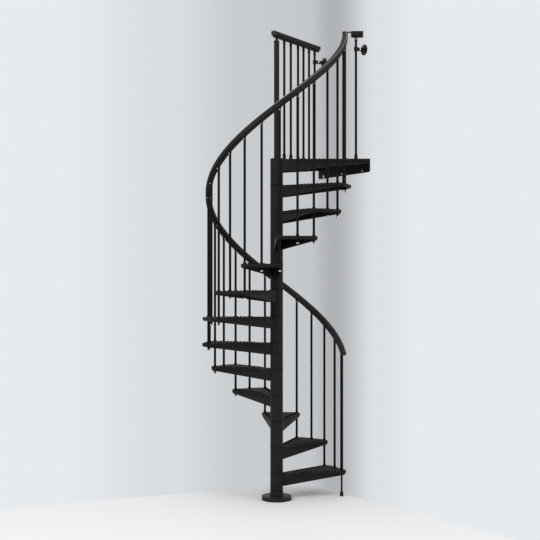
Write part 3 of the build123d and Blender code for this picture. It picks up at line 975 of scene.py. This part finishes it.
rail_points = with_left(rail_right, (0.0, top))
rail_shape = outline_object(rail_points)
bar_shape = outline_object(with_left(bar_right))
rail_lead = atan(half_rise / (half_turn * baluster_circle))


def spiral_length(outline, material, first, last):
    """Part of the spiral rail between two stations."""
    start = bpy.data.meshes.new("start")
    steps = last - first
    level = rail_under + half_rise * first
    return swept(
        outline, material, start, spiral=True, turns=steps * half_turn / (2 * pi),
        rise=steps * half_rise, start_turn=station(first), start_height=level,
    )


def straight_length(outline, material, first, last, angle):
    """Part of a landing rail between two radii on a ray."""
    start = bpy.data.meshes.new("start")
    start.from_pydata([ray(first, angle, rail_level), ray(last, angle, rail_level)], [(0, 1)], [])
    return swept(outline, material, start, spiral=False)


def cap_outline(inset):
    """The moulded cap's outline, a little proud of the rail's."""
    right = [(rail_half - cap_edge_round, bar_height), (rail_half, bar_height + cap_edge_round)]
    right += crowned_top(rail_half, rail_top)
    middle_level = (bar_height + rail_top) / 2
    half_level = (rail_top - bar_height) / 2
    shrink_x = 1 - inset / rail_half
    shrink_y = 1 - inset / half_level
    return [
        (x * shrink_x, middle_level + (y - middle_level) * shrink_y)
        for x, y in with_left(right, (0.0, rail_top))
    ]


def end_cap(shape, place, inward, upward):
    """Adds a cap whose outer face is at a place on the rail's underside line."""
    across = upward.cross(inward)
    rings = []
    back = (cap_length + cap_back_thick, cap_back_edge)
    for depth, inset in ((0.0, cap_chamfer), (cap_chamfer, 0.0), (cap_length, 0.0), back):
        ring = [place + across * x + upward * y + inward * depth for x, y in cap_outline(inset)]
        rings.append([shape.verts.new(point) for point in ring])
    join_rings(shape, rings)
    shape.faces.new(rings[0])
    shape.faces.new(rings[-1])


def spiral_way(k):
    """Direction up the spiral rail at station k, and the rail's own upward direction there."""
    round_it = ray(1.0, station(k) + pi / 2, 0.0)
    way = round_it * cos(rail_lead) + up * sin(rail_lead)
    return way, up * cos(rail_lead) - round_it * sin(rail_lead)


def underside(k):
    """The spiral rail's underside at station k."""
    return ray(baluster_circle, station(k), rail_under + half_rise * k)


drawn_lines(extruded_pvc)
drawn_lines(shaded_landing_pvc)

# A glazed strip along the spiral rail's inner edge, found by how far round the outline it lies.
rail_round = sum(dist(a, b) for a, b in zip(rail_points, rail_points[1:]))
edge_middle = rail_round / 2 - rail_half + rail_edge_half
tree = extruded_pvc.node_tree
around = add(tree, "ShaderNodeAttribute", "Fac", attribute_name="around")
away = calc(tree, "ABSOLUTE", calc(tree, "SUBTRACT", around, edge_middle))
band = (rail_edge_half + rail_edge_soft, rail_edge_half - rail_edge_soft)
glaze = graded(tree, away, *band, "SMOOTHSTEP")
feed(tree, tree.nodes["Principled BSDF"], Coat_Roughness=rail_edge_rough, Coat_Weight=glaze)

per_metre = 1 / hypot(half_rise, half_turn * baluster_circle)
inside_cap = 0.002
spiral_parts = (
    ("spiral_rail", rail_shape, extruded_pvc, "rail_pvc", inside_cap),
    ("spiral_rail_bar", bar_shape, powder_coat, "black_steel", bar_short_low),
)
for name, outline, material, slot, short in spiral_parts:
    ends = (low_station + short * per_metre, high_station - inside_cap * per_metre)
    add_piece(name, spiral_length(outline, material, *ends), material, slot, "spiral_handrail")
straight_rails = (
    ("rear_landing_rail", "landing_handrail", rear_rail_start, rear_rail_end, landing_half,
     bar_short_rear),
    ("front_landing_rail", "landing_end_rail", front_rail_start, front_rail_end, -landing_half,
     bar_short_front),
)
caps = bmesh.new()
for k, sign in ((low_station, 1), (high_station, -1)):
    way, upward = spiral_way(k)
    end_cap(caps, underside(k), way * sign, upward)
for name, node, first, last, angle, bar_short in straight_rails:
    rail = straight_length(rail_shape, shaded_landing_pvc, first + inside_cap, last - inside_cap, angle)
    add_piece(name, rail, shaded_landing_pvc, "rail_pvc", node)
    bar = straight_length(bar_shape, powder_coat, first + bar_short, last - bar_short, angle)
    add_piece(name + "_bar", bar, powder_coat, "black_steel", node)
    way = ray(1.0, angle, 0.0)
    end_cap(caps, ray(first, angle, rail_level), way, up)
    end_cap(caps, ray(last, angle, rail_level), -way, up)
add_piece("rail_caps", finished_mesh(caps, crease=25), moulded_plastic, "rail_pvc")
for spare in (rail_shape, bar_shape):
    bpy.data.objects.remove(spare)

# --------------------
# Balusters and their bushes. Each is a thin steel tube, coated a shade darker
# than the frame, whose stud goes through a moulded bush, the lid and a sleeve
# to a zinc nut below; two small pan-head screws pin its head under the rail.
tube_tones = ((0.0018, 0.0018, 0.0020, 1.0), (0.0036, 0.0036, 0.0039, 1.0))
zinc_tones = ((0.50, 0.50, 0.51, 1.0), (0.68, 0.68, 0.69, 1.0))
zinc_skin = (0.0006, (0.24, 0.42), 0.00002)
hex_chamfer = 0.06
hex_crease = 25
washer_edge = 0.0003
washer_round = 0.97
nut_flats = 0.017
nut_height = 0.008
sleeve_radius = 0.0085
sleeve_length = 0.0465
landing_nut_raise = 0.0155
foot_ring_radius = 0.0140
foot_ring_height = 0.052
foot_ring_edge = 0.002
foot_ring_bore = 0.0092
foot_ring_gap = 0.0002
sleeve_edge = 0.001
sleeve_bore = 0.0048
washer_radius = 0.0105
washer_height = 0.0016
head_radius = 0.01125
start_head_radius = 0.0125
screw_radius = 0.0050
screw_drop = 0.0125
screw_sink = 0.0004

tube_coat = grained("black_tube_coat", tube_tones, coat_skin, specular=0.10, rub=0.3, dust=0.01)
zinc = grained("zinc_plate", zinc_tones, zinc_skin, metal=1.0, rub=0.0, dust=0.01)
bush_plastic = grained("moulded_bush_plastic", tube_tones, plastic_skin, specular=0.15)
finish(
    tube_coat, "mid_balusters", "corner_balusters", "landing_balusters", "landing_end_post",
    "start_baluster",
)
finish(bush_plastic, "baluster_bushes", "start_baluster_foot")


def hex_ring(shape, flats, height, limit, steps=24):
    """Corners of a hexagon across its flats at a height, cut round at a limit radius."""
    ring = []
    for n in range(steps):
        turn = 2 * pi * n / steps
        off_flat = (turn + pi / 6) % (pi / 3) - pi / 6
        reach = min(flats / 2 / cos(off_flat), limit)
        ring.append(shape.verts.new((reach * cos(turn), reach * sin(turn), height)))
    return ring


def hexagon(flats, height, washer, thick):
    """A chamfered hexagon on a round washer, seated at z = 0."""
    shape = bmesh.new()
    edge = flats * hex_chamfer
    top = thick + height
    levels = (
        (1.0, 0.0, washer * washer_round),
        (1.0, washer_edge, washer),
        (1.0, thick - washer_edge, washer),
        (1.0, thick, washer * washer_round),
        (flats, thick, flats / 2),
        (flats, thick + edge, flats),
        (flats, top - edge, flats),
        (flats, top, flats / 2),
    )
    rings = [hex_ring(shape, *level) for level in levels]
    join_rings(shape, rings)
    shape.faces.new(rings[-1])
    shape.faces.new(rings[0][::-1])
    return finished_mesh(shape, hex_crease)


nut_spots = []
for k in range(1, 2 * tread_count + 1):
    level = treads[(k - 1) // 2][1] - lid_sheet
    nut_spots.append((ray(baluster_circle, station(k), level), down))
landing_posts = [(r, landing_half) for r in rear_radii] + [(end_post_radius, -landing_half)]
for r, a in landing_posts[1:]:
    nut_spots.append((ray(r, a, landing_top - lid_sheet + landing_nut_raise), down))
sleeve_section = [
    (sleeve_bore, 0.0),
    (sleeve_radius, 0.0),
    (sleeve_radius, sleeve_length - sleeve_edge),
    (sleeve_radius - sleeve_edge, sleeve_length),
    (sleeve_bore, sleeve_length),
]
sleeve = turned(sleeve_section, steps=24, closed=True)
set_out("foot_sleeves", sleeve, nut_spots, tube_coat, "black_steel")
nut = hexagon(nut_flats, nut_height, washer_radius, washer_height)
under_sleeve = [(place + aim * sleeve_length, aim) for place, aim in nut_spots]
set_out("foot_nuts", nut, under_sleeve, zinc, None)
edge_centre = (foot_ring_radius - foot_ring_edge, foot_ring_height - foot_ring_edge)
foot_ring_section = [
    (foot_ring_bore, 0.0),
    (foot_ring_radius, 0.0),
    *arc(edge_centre, foot_ring_edge, 0, 90, 4),
    (foot_ring_bore, foot_ring_height),
]
set_out(
    "landing_foot_rings", turned(foot_ring_section, steps=32, closed=True),
    [(ray(r, landing_half, landing_top + foot_ring_gap), up) for r in rear_radii],
    bush_plastic, "black_plastic",
)

pan_head = [
    (0.0, 0.55), (0.28, 0.55), (0.36, 0.86), (0.55, 0.80), (0.80, 0.62), (0.95, 0.36), (1.0, 0.10),
    (1.0, -0.15), (0.0, -0.15),
]


def pan_screw(radius, steps=20):
    """A pan-head screw with its recess, seated at z = 0."""
    return turned([(radius * r, radius * z) for r, z in pan_head], steps)


screw_spots = []
for k in range(2 * tread_count + 1):
    way = ray(1.0, station(k), 0.0)
    out = (start_head_radius if k == 0 else head_radius) - screw_sink
    place = underside(k) - up * screw_drop
    screw_spots += [(place + way * out, way), (place - way * out, -way)]
for r, a in landing_posts:
    side = ray(1.0, a + pi / 2, 0.0)
    for way in (-side, side):
        out = way * (head_radius - screw_sink)
        screw_spots.append((ray(r, a, rail_level - screw_drop) + out, way))
set_out("rail_screws", pan_screw(screw_radius), screw_spots, zinc, None)

# --------------------
# Landing wall plate, wall anchors and rail connector. Three zinc hex bolts
# hold the plate to the wall; each anchor is a clamp ring with a knuckle and a
# screwed disc. All are pressed or cast steel, coated black.
wall_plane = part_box("landing_wall_plate")[1].x
wall_plate_thick = 0.005
wall_bolt_flats = 0.019
wall_bolt_height = 0.0075
wall_bolt_washer = 0.0125
wall_bolt_washer_thick = 0.0024
wall_bolt_spacing = 0.300
wall_bolt_drop = 0.090
disc_thick = 0.006
disc_screw_spacing = 0.052
disc_screw_radius = 0.0055
anchor_above_landing = 0.879
anchor_level = landing_top + anchor_above_landing
knuckle_radius = 0.0128
knuckle_half = 0.0088
knuckle_from_post = 0.031
knuckle_bolt_flats = 0.0100
knuckle_bolt_height = 0.0050
knuckle_washer = 0.0065
knuckle_washer_thick = 0.0012
knuckle_edge = 0.0015
plate_tones = ((0.0021, 0.0021, 0.0023, 1.0), (0.0040, 0.0041, 0.0043, 1.0))

wall_plate_coat = grained("wall_plate_coat", plate_tones, coat_skin, specular=0.12)
finish(wall_plate_coat, "landing_wall_plate")
finish(powder_coat, "rail_connector", "wall_anchor_front", "wall_anchor_rear")
to_room = Vector((-1.0, 0.0, 0.0))
wall_bolt = hexagon(wall_bolt_flats, wall_bolt_height, wall_bolt_washer, wall_bolt_washer_thick)
plate_face = wall_plane - wall_plate_thick
bolt_level = landing_top - wall_bolt_drop
bolt_spots = [
    (Vector((plate_face, n * wall_bolt_spacing, bolt_level)), to_room) for n in (-1, 0, 1)
]
set_out("wall_bolts", wall_bolt, bolt_spots, zinc, None)
held_posts = [ray(end_post_radius, -landing_half, 0), ray(rear_radii[-1], landing_half, 0)]
disc_spots, knuckle_spots, knuckle_bolts = [], [], []
for post in held_posts:
    knuckle = Vector((post.x + knuckle_from_post, post.y, anchor_level))
    knuckle_spots.append((knuckle, Vector((0.0, 1.0, 0.0))))
    for sign in (-1.0, 1.0):
        level = anchor_level + sign * disc_screw_spacing / 2
        disc_spots.append((Vector((wall_plane - disc_thick, post.y, level)), to_room))
        aim = Vector((0.0, sign, 0.0))
        knuckle_bolts.append((knuckle + aim * knuckle_half, aim))
set_out("disc_screws", pan_screw(disc_screw_radius), disc_spots, zinc, None)
knuckle_section = [
    (0.0, -knuckle_half),
    (knuckle_radius - knuckle_edge, -knuckle_half),
    (knuckle_radius, -knuckle_half + knuckle_edge),
    (knuckle_radius, knuckle_half - knuckle_edge),
    (knuckle_radius - knuckle_edge, knuckle_half),
    (0.0, knuckle_half),
]
knuckle = turned(knuckle_section, steps=40)
set_out("anchor_knuckles", knuckle, knuckle_spots, powder_coat, "black_steel", free_turn=0.0)
knuckle_bolt = hexagon(
    knuckle_bolt_flats, knuckle_bolt_height, knuckle_washer, knuckle_washer_thick
)
set_out("knuckle_bolts", knuckle_bolt, knuckle_bolts, zinc, None)

# --------------------
# Newel cap. A moulded plug closes the pole's top, with a turned neck that
# reaches up to the rear rail.
cap_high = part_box("newel_cap")[1]
cap_below_rail = 0.032
cap_gap = 0.0003
cap_seat = rail_level - cap_below_rail + cap_gap
plug_radius = 0.0179
plug_depth = 0.025
plug_edge = 0.001
cap_flange = cap_high.x
cap_flange_height = 0.008
neck_base = 0.017
neck_top = 0.009
neck_steps = 6
cap_edge = 0.0018
cap_foot_edge = 0.0006

neck_foot = cap_seat + cap_flange_height
neck_rise = cap_high.z - neck_foot
neck = []
for n in range(neck_steps + 1):
    part = n / neck_steps
    neck.append((neck_top + (neck_base - neck_top) * (1 - part) ** 2, neck_foot + neck_rise * part))
cap_section = [
    (0.0, cap_seat - plug_depth),
    (plug_radius - plug_edge, cap_seat - plug_depth),
    (plug_radius, cap_seat - plug_depth + plug_edge),
    (plug_radius, cap_seat),
    (cap_flange - cap_foot_edge, cap_seat),
    (cap_flange, cap_seat + cap_foot_edge),
    *arc((cap_flange - cap_edge, cap_seat + cap_flange_height - cap_edge), cap_edge, 0, 90, 4),
    *neck,
    (0.0, cap_high.z),
]
add_piece("pole_cap", turned(cap_section), moulded_plastic, "black_plastic", "newel_cap")
